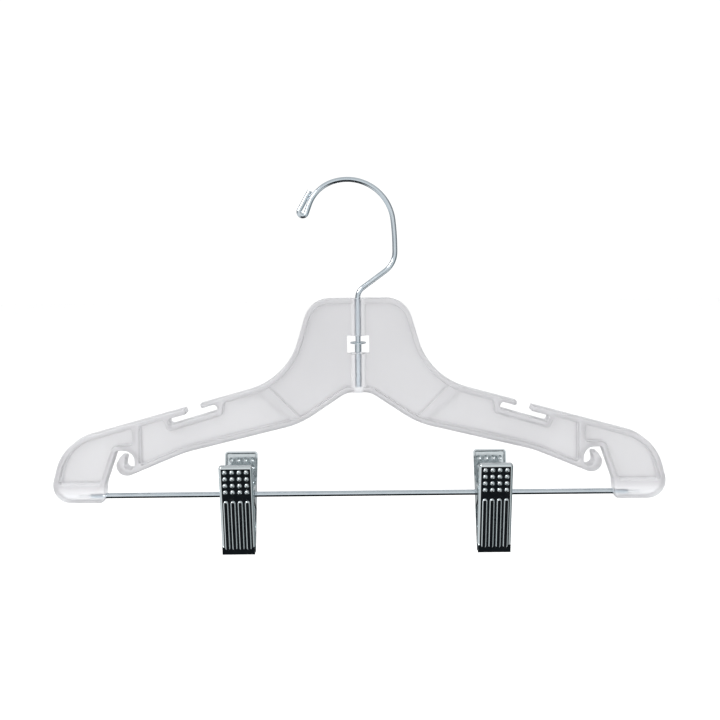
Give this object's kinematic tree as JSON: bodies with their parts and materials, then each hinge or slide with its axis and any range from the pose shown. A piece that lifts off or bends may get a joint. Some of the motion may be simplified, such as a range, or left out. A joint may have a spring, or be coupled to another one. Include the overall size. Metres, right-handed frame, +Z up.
{
  "type": "clothes hanger",
  "caption": "Clear moulded child's hanger with a swivel wire hook, strap notches, skirt loops, a wire trouser bar and sliding metal pinch clips.",
  "frame": {"origin": "on the hook's swivel axis, level with the inside of the hook's crown, where a rail carries the hanger", "axes": "+X along the trouser bar towards the hook's back, +Y away from the viewer of the front, +Z up"},
  "size_m": [0.355, 0.0256, 0.2193],
  "materials": {
    "clear_plastic": "clear injection moulded polystyrene, glossy",
    "plated_wire": "bright zinc plated steel wire, bluish",
    "plated_sheet": "bright nickel plated pressed steel sheet",
    "spring_steel": "drawn spring wire, satin",
    "grip_pad": "soft matt vinyl strip"
  },
  "bodies": {
    "hook": {"hook": "plated_wire", "hook_washer": "plated_wire"},
    "hanger": {"hanger_body": "clear_plastic", "trouser_bar": "plated_wire"},
    "left_clip_slider": {"left_clip_spring": "spring_steel"},
    "left_clip_back": {"left_clip_back_jaw": "plated_sheet", "left_clip_back_pad": "grip_pad"},
    "left_clip_front": {"left_clip_front_jaw": "plated_sheet", "left_clip_front_pad": "grip_pad"},
    "right_clip_slider": {"right_clip_spring": "spring_steel"},
    "right_clip_back": {"right_clip_back_jaw": "plated_sheet", "right_clip_back_pad": "grip_pad"},
    "right_clip_front": {"right_clip_front_jaw": "plated_sheet", "right_clip_front_pad": "grip_pad"}
  },
  "joints": [
    {"name": "hook_swivel", "type": "hinge", "parent": "hook", "child": "hanger", "pos_m": [0, 0, -0.068], "axis": [0, 0, 1], "continuous": true},
    {"name": "left_clip_slide", "type": "slide", "parent": "hanger", "child": "left_clip_slider", "axis": [1, 0, 0], "range_m": [-0.0225, 0.0597]},
    {"name": "left_clip_swing", "type": "hinge", "parent": "left_clip_slider", "child": "left_clip_back", "pos_m": [-0.0705, 0, -0.182], "axis": [1, 0, 0], "range_deg": [-90, 90]},
    {"name": "left_clip_open", "type": "hinge", "parent": "left_clip_back", "child": "left_clip_front", "pos_m": [-0.0705, 0, -0.182], "axis": [-1, 0, 0], "range_deg": [0, 30], "stiffness_Nm_per_rad": 0.03, "springref_deg": -28.65, "deforming": ["left_clip_spring"]},
    {"name": "right_clip_slide", "type": "slide", "parent": "hanger", "child": "right_clip_slider", "axis": [1, 0, 0], "range_m": [-0.0672, 0.015]},
    {"name": "right_clip_swing", "type": "hinge", "parent": "right_clip_slider", "child": "right_clip_back", "pos_m": [0.078, 0, -0.182], "axis": [1, 0, 0], "range_deg": [-90, 90]},
    {"name": "right_clip_open", "type": "hinge", "parent": "right_clip_back", "child": "right_clip_front", "pos_m": [0.078, 0, -0.182], "axis": [-1, 0, 0], "range_deg": [0, 30], "stiffness_Nm_per_rad": 0.03, "springref_deg": -28.65, "deforming": ["right_clip_spring"]}
  ]
}
